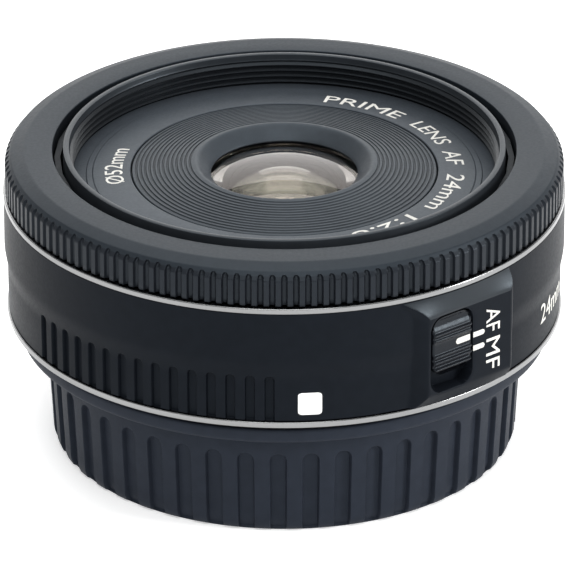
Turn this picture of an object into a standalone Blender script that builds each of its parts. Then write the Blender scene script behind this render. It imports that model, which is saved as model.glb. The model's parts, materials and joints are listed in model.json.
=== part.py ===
"""Pancake prime lens, 24 mm f/2.8, standing nose-up on its rear cap.

Frame: origin at the centre of the cap's resting face, +Z along the optical
axis towards the front glass, -Y towards the white mount index, +X to the side
of the AF/MF switch.  All driving dimensions are in millimetres and are
converted to metres when the meshes are made.
"""
import bpy
import bmesh
import math
from mathutils import Vector, Matrix, geometry

for ob in list(bpy.data.objects):
    bpy.data.objects.remove(ob, do_unlink=True)

MM = 0.001

# ---------------------------------------------------------------- dimensions
FLANGE_Z = 15.3          # mount flange face, measured up from the cap's foot
FRONT_Z = 38.1           # rim of the filter tube: 22.8 in front of the flange
RING_FACE_Z = 37.7       # front face of the focus ring
MAX_R = 34.1             # widest radius, 68.2 across
BARREL_R = 34.05         # casing radius near the front
BARREL_LOW_R = 33.65     # casing radius near the mount
BARREL_Z0, BARREL_Z1 = 17.7, 31.9
DECK_Z = 30.9            # underside of the casing's front deck
TAPER_Z = 25.7           # where the casing starts to narrow
TAPER_END_Z = 22.9       # and where it has narrowed fully
BOSS_D = 34.42           # the switch boss is flat, this far from the axis
BOSS_MID_AZ = 39.6       # and square to this direction
BOSS_AZ = (26.6, 29.4, 50.7, 52.0)
SLOT_AZ = (30.0, 40.55)  # switch slot, either side
SLOT_Z = (19.25, 29.35)
KNOB_TRAVEL = 2.1
RING_INNER_R = 28.08     # focus ring bore
RIB_R = 33.85            # outside of the focus ring's ribs
TUBE_R, FILTER_R = 26.8, 26.05   # moving front tube, outside and filter bore
FLOOR_Z = (32.6, 33.6)   # plate that carries the optics inside the tube
SLEEVE_R = (13.9, 14.8)  # inner sleeve of the moving barrel
GUIDE_R = (15.1, 15.9)   # fixed tube with straight slots
CAM_R = (16.2, 17.2)     # rotating tube with helical slots
FOCUS_TRAVEL = 6.5       # the whole optical unit moves out this far
CAM_TURN = 75.0          # degrees of cam ring for that travel
PIN_Z, PIN_R = 20.0, 0.75
PIN_AZ = (0.0, 120.0, 240.0)
BASE_Z = (16.8, 17.8)    # base plate of the fixed barrel
GEAR_MODULE = 0.4
SECTOR_TEETH, IDLER_TEETH, PINION_TEETH = 92, 20, 10
GEAR_Z = (19.8, 21.0)
IDLER_AZ = 20.0
IRIS_PIVOT_R = 8.6
IRIS_TAIL_R = 10.2
IRIS_OPEN_R = 4.7
BLADES = 7
BLADE_Z, BLADE_STEP, BLADE_T = 26.95, 0.2, 0.1
IRIS_RING_Z = (28.6, 29.2)
IRIS_MODULE = 0.3
IRIS_SECTOR_TEETH, IRIS_PINION_TEETH = 130, 10
IRIS_ARM_AZ = 90.0
CAP_R0, CAP_R1 = 28.27, 28.9
CAP_LIP_R = 32.3
CAP_LIP_Z = (13.96, 15.8)
BAYONET_R = (23.6, 24.9, 26.6)
TAB_Z = (10.6, 12.3)
SCREW_R = 29.2
SCREW_AZ = (45.0, 135.0, 225.0, 315.0)


# ------------------------------------------------------------------ materials
def finish(name, color, rough, metal=0.0, alpha=1.0):
    m = bpy.data.materials.new(name)
    m.use_nodes = True
    b = m.node_tree.nodes["Principled BSDF"]
    b.inputs["Base Color"].default_value = (*color, 1.0)
    b.inputs["Roughness"].default_value = rough
    b.inputs["Metallic"].default_value = metal
    b.inputs["Alpha"].default_value = alpha
    m.diffuse_color = (*color, 1.0)
    return m


BLACK = (0.012, 0.013, 0.016)
CHARCOAL = (0.03, 0.031, 0.034)
SATIN = (0.05, 0.052, 0.056)
SILVER = (0.75, 0.75, 0.74)
WHITE = (0.85, 0.85, 0.84)
GLASS = (0.55, 0.58, 0.55)
BRASS = (0.72, 0.52, 0.22)
GOLD = (0.85, 0.62, 0.25)
GREEN = (0.02, 0.16, 0.08)
AMBER = (0.55, 0.25, 0.06)


# ------------------------------------------------------------------- builders
def az_xy(r, az):
    """Point at radius r and azimuth az (0 = front, -Y; 90 = right, +X)."""
    a = math.radians(az - 90.0)
    return r * math.cos(a), r * math.sin(a)


def make(name, verts, faces, mat, origin=(0.0, 0.0, 0.0), angle=32.0):
    me = bpy.data.meshes.new(name)
    o = Vector(origin)
    me.from_pydata([tuple((Vector(v) - o) * MM) for v in verts], [], faces)
    bm = bmesh.new()
    bm.from_mesh(me)
    bmesh.ops.recalc_face_normals(bm, faces=bm.faces[:])
    bm.to_mesh(me)
    bm.free()
    me.shade_smooth()
    me.set_sharp_from_angle(angle=math.radians(angle))
    ob = bpy.data.objects.new(name, me)
    bpy.context.scene.collection.objects.link(ob)
    ob.location = o * MM
    color, rough, metal = mat[:3]
    me.materials.append(finish(name, color, rough, metal))
    return ob


def turned(name, prof, seg, mat, origin=(0.0, 0.0, 0.0), phase=0.0, centre=(0.0, 0.0)):
    """Revolve a closed (r, z) outline about the vertical line through centre."""
    verts, faces, idx = [], [], []
    for r, z in prof:
        if r < 1e-9:
            verts.append((centre[0], centre[1], z))
            idx.append([len(verts) - 1] * seg)
        else:
            row = []
            for j in range(seg):
                a = 2 * math.pi * j / seg + math.radians(phase)
                verts.append((centre[0] + r * math.cos(a), centre[1] + r * math.sin(a), z))
                row.append(len(verts) - 1)
            idx.append(row)
    n = len(prof)
    for i in range(n):
        a, b = idx[i], idx[(i + 1) % n]
        if a[0] == a[1] and b[0] == b[1]:
            continue
        for j in range(seg):
            k = (j + 1) % seg
            quad = [a[j], a[k], b[k], b[j]]
            quad = [q for t, q in enumerate(quad) if q not in quad[:t]]
            if len(quad) > 2:
                faces.append(quad)
    return make(name, verts, faces, mat, origin)


def cell_ring(name, rs, azs, zs, filled, mat, rmap=None, zmap=None, closed=True,
              origin=(0.0, 0.0, 0.0)):
    """A ring made of cells in radius, azimuth and height; filled(i, j, k)
    says which cells are material.  rmap and zmap shift a cell corner."""
    nr, nz = len(rs) - 1, len(zs) - 1
    na = len(azs) if closed else len(azs) - 1
    nodes = len(azs)
    verts, faces, seen = [], [], {}

    def vert(i, j, k):
        j %= nodes
        if rs[i] < 1e-9:
            j = 0
        key = (i, j, k)
        if key not in seen:
            r = rmap(i, azs[j], k) if rmap else rs[i]
            z = zmap(i, azs[j], k) if zmap else zs[k]
            x, y = az_xy(r, azs[j])
            verts.append((x, y, z))
            seen[key] = len(verts) - 1
        return seen[key]

    def solid(i, j, k):
        if i < 0 or k < 0 or i >= nr or k >= nz:
            return False
        if closed:
            j %= na
        elif j < 0 or j >= na:
            return False
        return filled(i, j, k)

    def quad(*c):
        f = [vert(*q) for q in c]
        f = [q for t, q in enumerate(f) if q not in f[:t]]
        if len(f) > 2:
            faces.append(f)

    for i in range(nr):
        for j in range(na):
            for k in range(nz):
                if not solid(i, j, k):
                    continue
                if not solid(i - 1, j, k) and rs[i] > 1e-9:
                    quad((i, j, k), (i, j + 1, k), (i, j + 1, k + 1), (i, j, k + 1))
                if not solid(i + 1, j, k):
                    quad((i + 1, j, k), (i + 1, j, k + 1), (i + 1, j + 1, k + 1), (i + 1, j + 1, k))
                if not solid(i, j - 1, k):
                    quad((i, j, k), (i, j, k + 1), (i + 1, j, k + 1), (i + 1, j, k))
                if not solid(i, j + 1, k):
                    quad((i, j + 1, k), (i + 1, j + 1, k), (i + 1, j + 1, k + 1), (i, j + 1, k + 1))
                if not solid(i, j, k - 1):
                    quad((i, j, k), (i + 1, j, k), (i + 1, j + 1, k), (i, j + 1, k))
                if not solid(i, j, k + 1):
                    quad((i, j, k + 1), (i, j + 1, k + 1), (i + 1, j + 1, k + 1), (i + 1, j, k + 1))
    return make(name, verts, faces, mat, origin)


def inside(p, loop):
    x, y = p
    hit = False
    n = len(loop)
    for a in range(n):
        x0, y0 = loop[a]
        x1, y1 = loop[(a + 1) % n]
        if (y0 > y) != (y1 > y) and x < (x1 - x0) * (y - y0) / (y1 - y0) + x0:
            hit = not hit
    return hit


def area(loop):
    return abs(sum(loop[i][0] * loop[(i + 1) % len(loop)][1] - loop[(i + 1) % len(loop)][0] * loop[i][1]
                   for i in range(len(loop)))) / 2


def stepped_plate(name, loops, mat, origin=(0.0, 0.0, 0.0)):
    """A flat plate whose nested outlines each have their own height span.
    loops is a list of (outline, (z0, z1)), or (outline, None) for a hole."""
    pts, edges = [], []
    for loop, _ in loops:
        s = len(pts)
        pts += [Vector(p) for p in loop]
        edges += [(s + i, s + (i + 1) % len(loop)) for i in range(len(loop))]
    v2, _, tris, _, _, _ = geometry.delaunay_2d_cdt(pts, edges, [], 0, 1e-7)
    order = sorted(range(len(loops)), key=lambda i: area(loops[i][0]))
    region = []
    for t in tris:
        c = (sum(v2[i][0] for i in t) / 3, sum(v2[i][1] for i in t) / 3)
        span = None
        for q in order:
            if inside(c, loops[q][0]):
                span = loops[q][1]
                break
        region.append(span)
    verts, faces, seen = [], [], {}

    def vert(i, z):
        key = (i, round(z, 6))
        if key not in seen:
            verts.append((v2[i][0], v2[i][1], z))
            seen[key] = len(verts) - 1
        return seen[key]

    sides = {}
    for t, span in zip(tris, region):
        if span:
            faces.append([vert(i, span[1]) for i in t])
            faces.append([vert(i, span[0]) for i in reversed(t)])
        for a in range(3):
            e = (t[a], t[(a + 1) % 3])
            sides.setdefault(tuple(sorted(e)), []).append(span)
    for (a, b), spans in sides.items():
        s0 = spans[0]
        s1 = spans[1] if len(spans) > 1 else None
        if s0 == s1:
            continue
        if s0 is None:
            s0, s1 = s1, s0
        if s1 is None:
            walls = [(s0[0], s0[1])]
        else:
            walls = []
            if abs(s0[0] - s1[0]) > 1e-6:
                walls.append((min(s0[0], s1[0]), max(s0[0], s1[0])))
            if abs(s0[1] - s1[1]) > 1e-6:
                walls.append((min(s0[1], s1[1]), max(s0[1], s1[1])))
        for z0, z1 in walls:
            faces.append([vert(a, z0), vert(b, z0), vert(b, z1), vert(a, z1)])
    return make(name, verts, faces, mat, origin)


def circle(cx, cy, r, n, phase=0.0):
    return [(cx + r * math.cos(2 * math.pi * i / n + math.radians(phase)),
             cy + r * math.sin(2 * math.pi * i / n + math.radians(phase))) for i in range(n)]


def rounded_rect(cx, cy, w, h, r, turn=0.0, n=3):
    out = []
    for sx, sy, a0 in ((1, 1, 0), (-1, 1, 90), (-1, -1, 180), (1, -1, 270)):
        for i in range(n + 1):
            a = math.radians(a0 + 90.0 * i / n)
            out.append((sx * (w / 2 - r) + r * math.cos(a), sy * (h / 2 - r) + r * math.sin(a)))
    c, s = math.cos(math.radians(turn)), math.sin(math.radians(turn))
    return [(cx + x * c - y * s, cy + x * s + y * c) for x, y in out]


def block(name, centre, size, turn, mat):
    """Box of size (radial, tangential, height) standing at centre, turned
    about Z by turn degrees."""
    c, s = math.cos(math.radians(turn)), math.sin(math.radians(turn))
    verts = []
    for dz in (-0.5, 0.5):
        for dx, dy in ((-0.5, -0.5), (0.5, -0.5), (0.5, 0.5), (-0.5, 0.5)):
            x, y = dx * size[0], dy * size[1]
            verts.append((centre[0] + x * c - y * s, centre[1] + x * s + y * c, centre[2] + dz * size[2]))
    faces = [(0, 3, 2, 1), (4, 5, 6, 7), (0, 1, 5, 4), (1, 2, 6, 5), (2, 3, 7, 6), (3, 0, 4, 7)]
    return make(name, verts, faces, mat)


def teeth(cx, cy, n, m, tooth_angle, first=0, last=None):
    """Corner points of gear teeth.  tooth_angle is the angle of the centre
    of tooth 0; teeth first..last are made, counter-clockwise."""
    rp = n * m / 2
    tip, root = rp + 0.85 * m, rp - 1.2 * m
    last = n - 1 if last is None else last
    half_root, half_tip = 0.31 * math.pi * m / 1.0 / root, 0.115 * math.pi * m / tip
    out = []
    for i in range(first, last + 1):
        a = math.radians(tooth_angle) + 2 * math.pi * i / n
        for r, d in ((root, -half_root), (tip, -half_tip), (tip, half_tip), (root, half_root)):
            out.append((cx + r * math.cos(a + d), cy + r * math.sin(a + d)))
    return out


def cut(target, cutters):
    for i, c in enumerate(cutters):
        c.hide_render = True
        c.display_type = 'WIRE'
        c.parent = target
        c.matrix_parent_inverse = target.matrix_world.inverted()
        md = target.modifiers.new("cut_%d" % i, 'BOOLEAN')
        md.operation = 'DIFFERENCE'
        md.solver = 'EXACT'
        md.object = c


def uniform(n, phase=0.0):
    return [phase + 360.0 * i / n for i in range(n)]


# ============================================================ fixed structure
# Casing: wall, front deck, neck for the focus ring, seat for the rear trim,
# switch boss with its slot.
azs = [a for a in uniform(36) if not 20.0 < a < 55.0] + \
      [BOSS_AZ[0], BOSS_AZ[1], SLOT_AZ[0], 35.3, SLOT_AZ[1], 45.6, BOSS_AZ[2], BOSS_AZ[3]]
azs = sorted(azs)
shell_r = [29.4, 30.6, 32.6, 33.2, BARREL_R]
shell_z = [16.8, BARREL_Z0, SLOT_Z[0], TAPER_END_Z, TAPER_Z, SLOT_Z[1], DECK_Z, BARREL_Z1, 36.2]
SHELL_OUT = {0: 33.55, 1: 33.6, 2: BARREL_LOW_R, 3: BARREL_LOW_R, 4: BARREL_R, 5: BARREL_R, 6: BARREL_R,
             7: BARREL_R, 8: BARREL_R}
BOSS_FADE = {0: 0.0, 1: 0.3, 2: 1.0, 3: 1.0, 4: 1.0, 5: 1.0, 6: 0.4, 7: 0.0, 8: 0.0}


def shell_radius(i, az, k):
    if i < 4:
        return shell_r[i]
    r = SHELL_OUT[k]
    if BOSS_AZ[0] + 0.01 < az < BOSS_AZ[3] - 0.01:
        face = BOSS_D / math.cos(math.radians(az - BOSS_MID_AZ))
        r += (face - r) * BOSS_FADE[k]
    return r


def shell_filled(i, j, k):
    a, b = azs[j], azs[(j + 1) % len(azs)]
    z = shell_z[k]
    if z >= BARREL_Z1:
        return i == 0
    if z >= DECK_Z:
        return True
    if i < 2:
        return False
    if z < BARREL_Z0:
        return i == 2
    if SLOT_Z[0] - 0.01 <= z < SLOT_Z[1] - 0.01 and a >= SLOT_AZ[0] - 0.01 and SLOT_AZ[0] < b <= SLOT_AZ[1] + 0.01:
        return False
    return True


cell_ring("barrel_shell", shell_r, azs, shell_z, shell_filled, (CHARCOAL, 0.5, 0.0), rmap=shell_radius)

turned("front_trim_ring", [(32.9, 31.98), (MAX_R, 31.98), (MAX_R, 32.68), (32.9, 32.68)], 48, (SILVER, 0.25, 1.0))
turned("rear_trim_ring", [(33.3, 16.8), (33.75, 16.8), (33.75, 17.55), (33.3, 17.55)], 48, (SILVER, 0.28, 1.0))
cell_ring("index_mark", [33.72, 33.95], [2.77, 5.2, 7.63], [18.5, 21.4], lambda i, j, k: True,
          (WHITE, 0.5, 0.0), closed=False)

# Mount: flange, tube and three bayonet tabs, with countersunk screw holes and
# the notch for the body's locking pin.
tab_spans = [(15.0, 65.0), (135.0, 185.0), (255.0, 305.0)]
m_az = uniform(36, 5.0)
m_r = [BAYONET_R[0], BAYONET_R[1], BAYONET_R[2], 31.4]
m_z = [TAB_Z[0], TAB_Z[1], FLANGE_Z, 16.5]


def mount_filled(i, j, k):
    if i == 0 or k == 2:
        return True
    mid = (m_az[j] + 5.0) % 360.0
    return i == 1 and k == 0 and any(a < mid < b for a, b in tab_spans)


mount = cell_ring("mount_bayonet", m_r, m_az, m_z, mount_filled, (SILVER, 0.3, 1.0))
holes = []
for n, az in enumerate(SCREW_AZ):
    x, y = az_xy(SCREW_R, az)
    holes.append(turned("mount_hole_%d" % (n + 1), [(0, 14.8), (1.75, 14.8), (1.75, 16.0), (0.95, 16.0), (0.95, 17.0), (0, 17.0)],
                        10, (SILVER, 0.3, 1.0), centre=(x, y)))
x, y = az_xy(28.6, 352.0)
holes.append(turned("lock_notch", [(0, 14.8), (1.3, 14.8), (1.3, 17.0), (0, 17.0)], 12, (SILVER, 0.3, 1.0), centre=(x, y)))
cut(mount, holes)
for n, az in enumerate(SCREW_AZ):
    x, y = az_xy(SCREW_R, az)
    turned("mount_screw_%d" % (n + 1), [(0, 15.35), (1.5, 15.35), (1.5, 15.75), (0.7, 15.85), (0.7, 17.7), (0, 17.7)],
           8, (SILVER, 0.3, 1.0), origin=(x, y, 15.35), centre=(x, y))

# Fixed barrel: base plate and the collar round the moving tube.
fixed = turned("fixed_barrel", [(15.1, BASE_Z[0]), (31.2, BASE_Z[0]), (31.2, BASE_Z[1]), (27.85, BASE_Z[1]),
                                (27.85, 36.4), (27.15, 36.4), (27.15, BASE_Z[1]), (15.1, BASE_Z[1])],
               36, (BLACK, 0.6, 0.0))
holes = []
for n, az in enumerate(SCREW_AZ):
    x, y = az_xy(SCREW_R, az)
    holes.append(turned("base_hole_%d" % (n + 1), [(0, 16.0), (0.95, 16.0), (0.95, 18.6), (0, 18.6)], 8,
                        (BLACK, 0.6, 0.0), centre=(x, y)))
holes.append(block("cable_hole", (0.0, 22.0, 17.3), (5.0, 1.4, 3.0), 0.0, (BLACK, 0.6, 0.0)))
cut(fixed, holes)

# Guide tube: three straight slots hold the cam pins from turning.
g_az = uniform(30, 6.0)


def guide_filled(i, j, k):
    mid = (g_az[j] + 6.0) % 360.0
    return not (k == 1 and any(abs((mid - p + 180) % 360 - 180) < 1.0 for p in PIN_AZ))


cell_ring("guide_tube", list(GUIDE_R), g_az, [18.1, 19.0, 27.5, 28.3], guide_filled, (SILVER, 0.45, 1.0))

# Boards, cable and contacts.
p_az = [75.0 + 18.0 * i for i in range(16)]
cell_ring("main_pcb", [19.4, 26.6], p_az, [18.1, 18.7], lambda i, j, k: True, (GREEN, 0.45, 0.0), closed=False)
block("flex_cable", (0.0, 22.0, 16.5), (4.0, 0.2, 2.9), 0.0, (AMBER, 0.4, 0.0))
cell_ring("contact_block", [20.4, 23.2], [152.0 + 8.0 * i for i in range(8)], [9.4, 14.7], lambda i, j, k: True,
          (BLACK, 0.5, 0.0), closed=False)
for n in range(7):
    x, y = az_xy(21.9, 159.0 + 7.0 * n)
    turned("contact_pin_%d" % (n + 1), [(0, 8.95), (0.45, 8.95), (0.7, 9.1), (0.7, 9.32), (0, 9.32)], 8,
           (GOLD, 0.25, 1.0), origin=(x, y, 9.1), centre=(x, y))
stepped_plate("rear_baffle", [(circle(0, 0, 23.2, 32), (15.0, 16.2)), (rounded_rect(0, 0, 21.0, 16.0, 2.0), None),
                              (rounded_rect(0.0, 22.0, 5.0, 1.2, 0.3), None)], (BLACK, 0.7, 0.0))

# Focus drive: motor, plate, idler and its axle.
idler_c = az_xy(SECTOR_TEETH * GEAR_MODULE / 2 + IDLER_TEETH * GEAR_MODULE / 2 + 0.03, IDLER_AZ)
idler_r = math.hypot(*idler_c)
train = (IDLER_TEETH + PINION_TEETH) * GEAR_MODULE / 2 + 0.03
pinion_az = IDLER_AZ + 2 * math.degrees(math.asin(train / 2 / idler_r))
pinion_c = az_xy(idler_r, pinion_az)
turned("focus_motor", [(0, 22.4), (3.2, 22.4), (3.2, 29.6), (2.6, 30.0), (0, 30.0)], 16, (SILVER, 0.35, 1.0),
       centre=pinion_c)
mid_az = (IDLER_AZ + pinion_az) / 2
plate_c = az_xy(idler_r, mid_az)
post_a, post_b = az_xy(idler_r + 1.8, IDLER_AZ - 12.8), az_xy(idler_r + 1.8, pinion_az + 12.8)
stepped_plate("motor_plate", [
    (rounded_rect(plate_c[0], plate_c[1], 6.0, 19.4, 1.6, turn=mid_az - 90.0), (21.3, 22.0)),
    (circle(pinion_c[0], pinion_c[1], 0.9, 10), None),
    (circle(idler_c[0], idler_c[1], 0.8, 10), None),
    (circle(post_a[0], post_a[1], 0.7, 8), (18.1, 22.0)),
    (circle(post_b[0], post_b[1], 0.7, 8), (18.1, 22.0))], (SILVER, 0.4, 1.0))
turned("idler_axle", [(0, 18.1), (0.6, 18.1), (0.6, 22.2), (0, 22.2)], 8, (SILVER, 0.3, 1.0), centre=idler_c)
cell_ring("switch_board", [30.6, 31.5], [31.0, 36.0, 41.0], [19.4, 29.0], lambda i, j, k: True,
          (GREEN, 0.45, 0.0), closed=False)
cell_ring("focus_sensor", [30.8, 31.2], [84.0, 90.0, 96.0], [32.0, 35.2], lambda i, j, k: True,
          (BLACK, 0.4, 0.0), closed=False)

# ========================================================= pieces that move
# Focus ring with its ribbed grip; it turns on the casing's neck.
turned("focus_ring", [(32.5, 32.85), (33.4, 32.85), (RIB_R, 33.1), (RIB_R, 36.1), (33.1, 37.1), (31.4, RING_FACE_Z),
                      (RING_INNER_R, RING_FACE_Z), (RING_INNER_R, 35.7), (28.9, 35.7), (28.9, 36.5), (32.5, 36.5)],
       48, (SATIN, 0.5, 0.0))
c_az = uniform(36)
cell_ring("encoder_comb", [31.5, 32.1], c_az, [33.6, 35.0, 36.2],
          lambda i, j, k: k == 1 or j % 2 == 0, (CHARCOAL, 0.5, 0.0))

# Cam ring: three helical slots.  Each slot's low end sits on a pin at rest,
# and turning the ring forward raises the pins.
k_az = sorted({round((p + d) % 360.0, 6) for p in PIN_AZ for d in
               [5.0, 0.0] + [-7.5 * i for i in range(1, 11)] + [-80.0, -90.0, -100.0, -108.0]})


def helix_z(az):
    best = None
    for p in PIN_AZ:
        d = (az - p + 180.0) % 360.0 - 180.0
        for q in (d, d - 360.0):
            if -115.0 - 1e-6 <= q <= 5.0 + 1e-6:
                best = q
    q = best
    if q >= -80.0:
        return PIN_Z + FOCUS_TRAVEL * min(1.0, max(0.0, -q / CAM_TURN))
    return PIN_Z + FOCUS_TRAVEL * (q + 115.0) / 35.0


def cam_z(i, az, k):
    h = helix_z(az)
    return [18.1, h - 1.0, h + 1.0, 28.3][k]


def cam_filled(i, j, k):
    if k != 1:
        return True
    mid = (k_az[j] + ((k_az[(j + 1) % len(k_az)] - k_az[j]) % 360.0) / 2) % 360.0
    for p in PIN_AZ:
        d = (mid - p + 180.0) % 360.0 - 180.0
        if -80.0 < d < 5.0:
            return False
    return True


cell_ring("cam_ring", list(CAM_R), k_az, [18.1, 19.0, 21.0, 28.3], cam_filled, (SILVER, 0.4, 1.0), zmap=cam_z)

# Gear sector on the cam ring, with a tooth on the line to the idler.
first = -int(82.0 / (360.0 / SECTOR_TEETH))
outer = teeth(0.0, 0.0, SECTOR_TEETH, GEAR_MODULE, IDLER_AZ - 90.0, first, 1)
a_hi = math.atan2(outer[-1][1], outer[-1][0])
a_lo = math.atan2(outer[0][1], outer[0][0])
inner = [(17.32 * math.cos(a_hi + (a_lo - a_hi) * i / 14), 17.32 * math.sin(a_hi + (a_lo - a_hi) * i / 14))
         for i in range(15)]
stepped_plate("focus_gear_sector", [(outer + inner, GEAR_Z)], (BRASS, 0.35, 1.0))

# Idler: a gap faces the sector's tooth.  Pinion phase follows from the idler.
line_i = IDLER_AZ - 90.0
idler_tooth = line_i + 180.0 + 180.0 / IDLER_TEETH
stepped_plate("idler_gear", [(teeth(idler_c[0], idler_c[1], IDLER_TEETH, GEAR_MODULE, idler_tooth), GEAR_Z),
                             (circle(idler_c[0], idler_c[1], 0.8, 12), None)],
              (BRASS, 0.35, 1.0), origin=(idler_c[0], idler_c[1], 20.4))
beta = math.degrees(math.atan2(pinion_c[1] - idler_c[1], pinion_c[0] - idler_c[0]))
pitch_i = 360.0 / IDLER_TEETH
delta = ((idler_tooth - beta + pitch_i / 2) % pitch_i) - pitch_i / 2
pinion_tooth = beta + 180.0 - delta * IDLER_TEETH / PINION_TEETH + 180.0 / PINION_TEETH
stepped_plate("motor_pinion", [(teeth(pinion_c[0], pinion_c[1], PINION_TEETH, GEAR_MODULE, pinion_tooth), GEAR_Z),
                               (circle(pinion_c[0], pinion_c[1], 0.5, 8), (19.4, 22.2))],
              (BRASS, 0.35, 1.0), origin=(pinion_c[0], pinion_c[1], 20.4))

# Moving barrel: filter tube, plate that carries the optics, inner sleeve.
barrel = turned("lens_barrel", [(SLEEVE_R[0], 18.3), (SLEEVE_R[1], 18.3), (SLEEVE_R[1], FLOOR_Z[0]),
                                (FILTER_R, FLOOR_Z[0]), (FILTER_R, 27.5), (TUBE_R, 27.5), (TUBE_R, FRONT_Z),
                                (FILTER_R, FRONT_Z), (FILTER_R, FLOOR_Z[1]), (SLEEVE_R[0], FLOOR_Z[1])],
                36, (BLACK, 0.55, 0.0))
wx, wy = az_xy(14.35, IRIS_ARM_AZ)
cut(barrel, [block("arm_window", (wx, wy, 28.95), (4.0, 7.0, 1.3), IRIS_ARM_AZ - 90.0, (BLACK, 0.5, 0.0))])
for n, az in enumerate(PIN_AZ):
    ux, uy = az_xy(1.0, az)
    rot = Matrix((( -uy, 0.0, ux), (ux, 0.0, uy), (0.0, 1.0, 0.0)))
    verts, faces = [], []
    for r in (14.9, 17.05):
        for i in range(10):
            a = 2 * math.pi * i / 10
            v = Vector((PIN_R * math.cos(a), PIN_R * math.sin(a), r))
            w = rot @ v
            verts.append((w.x, w.y, w.z + PIN_Z))
    faces.append(tuple(range(9, -1, -1)))
    faces.append(tuple(range(10, 20)))
    faces += [(i, (i + 1) % 10, 10 + (i + 1) % 10, 10 + i) for i in range(10)]
    make("cam_pin_%d" % (n + 1), verts, faces, (SILVER, 0.3, 1.0))

turned("name_ring", [(18.65, 33.8), (25.9, 33.8), (25.9, 34.3), (23.2, 34.5), (18.65, 34.83)], 36, (SATIN, 0.5, 0.0))
turned("front_baffle", [(8.9, 34.25), (12.0, 33.8), (18.45, 33.8), (18.45, 34.75), (10.8, 35.9), (8.9, 34.55)], 36,
       (SATIN, 0.55, 0.0))


def arc(r_edge, z_edge, z_vertex, n):
    """Points of a spherical surface from the edge to the axis."""
    s = z_vertex - z_edge
    out = []
    for i in range(n + 1):
        r = r_edge * (1 - i / n)
        out.append((r, z_vertex - s * (r / r_edge) ** 2))
    return out


def element(name, r, z_edge0, z_v0, z_edge1, z_v1, rim0=None, n0=2, n1=2, seg=22):
    """A lens element between a rear surface (0) and a front surface (1)."""
    rear = arc(rim0 or r, z_edge0, z_v0, n0)
    front = arc(r, z_edge1, z_v1, n1)
    prof = list(reversed(rear))
    if rim0:
        prof.append((r, z_edge0))
    prof += front
    return turned(name, prof, seg, (GLASS, 0.05, 0.0))


element("element_1", 9.6, 31.3, 34.0, 33.6, 35.3, rim0=7.0, n0=2, n1=3, seg=28)
element("element_2", 6.6, 30.65, 30.6, 31.2, 32.6)
element("element_3", 6.6, 29.5, 29.85, 30.3, 30.35, rim0=5.6, n1=1)
element("element_4", 6.7, 23.55, 22.1, 23.95, 25.4)
element("element_5", 6.7, 21.4, 21.45, 23.4, 21.95, n0=1)
element("element_6", 8.1, 19.0, 17.9, 20.05, 20.1, n1=1)
turned("front_cell", [(7.2, 29.6), (13.6, 29.6), (13.6, 33.5), (9.8, 33.5), (9.8, 31.15), (7.2, 31.15)], 30,
       (BLACK, 0.6, 0.0))
turned("rear_cell", [(8.3, 17.6), (13.6, 17.6), (13.6, 25.9), (6.95, 25.9), (6.95, 21.25), (6.0, 21.25),
                     (6.0, 20.3), (8.3, 20.3)], 30, (BLACK, 0.6, 0.0))

# Diaphragm: base plate with seven pivots, blades on seven levels, and a ring
# whose notches carry the blades' tail pins.
loops = [(circle(0, 0, 13.4, 30), (26.2, 26.7)), (circle(0, 0, IRIS_OPEN_R, 24), None)]
for n in range(BLADES):
    x, y = az_xy(IRIS_PIVOT_R, 360.0 / BLADES * n)
    loops.append((circle(x, y, 0.33, 6), (26.2, 28.35)))
stepped_plate("diaphragm_base", loops, (SATIN, 0.5, 0.0))

for n in range(BLADES):
    az = 360.0 / BLADES * n
    px, py = az_xy(IRIS_PIVOT_R, az)
    tx, ty = az_xy(IRIS_TAIL_R, az)
    z0 = BLADE_Z + BLADE_STEP * n
    out = []
    for r, d in [(10.75, -3.5), (10.75, 3.5), (9.3, 7.0)] + \
                [(8.05, 9.0 + 14.5 * i) for i in range(8)] + [(6.6, 117.0)] + \
                [(5.05, 112.0 - 16.0 * i) for i in range(8)] + [(6.2, -7.0), (7.8, -8.0), (9.4, -6.0)]:
        out.append(az_xy(r, az + d))
    stepped_plate("blade_%d" % (n + 1), [(out, (z0, z0 + BLADE_T)),
                                         (circle(px, py, 0.5, 8), None),
                                         (circle(tx, ty, 0.28, 6), (z0, 29.1))],
                  (BLACK, 0.5, 0.0), origin=(px, py, z0))

rp = IRIS_SECTOR_TEETH * IRIS_MODULE / 2
t_out = teeth(0.0, 0.0, IRIS_SECTOR_TEETH, IRIS_MODULE, IRIS_ARM_AZ - 90.0, -3, 2)
edge = []
for i in range(33):
    a = IRIS_ARM_AZ + 14.0 + (360.0 - 28.0) * i / 32
    edge.append(az_xy(11.6, a))
edge.append(az_xy(12.6, IRIS_ARM_AZ - 10.0))
edge.append(az_xy(17.6, IRIS_ARM_AZ - 7.6))
edge += t_out
edge.append(az_xy(17.6, IRIS_ARM_AZ + 6.4))
edge.append(az_xy(12.6, IRIS_ARM_AZ + 8.0))
loops = [(edge, IRIS_RING_Z), (circle(0, 0, 5.2, 24), None)]
for n in range(BLADES):
    az = 360.0 / BLADES * n
    x, y = az_xy(IRIS_TAIL_R - 0.03, az)
    loops.append((rounded_rect(x, y, 1.2, 0.95, 0.2, turn=az - 90.0, n=1), None))
stepped_plate("diaphragm_ring", loops, (SATIN, 0.45, 0.0))

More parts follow.
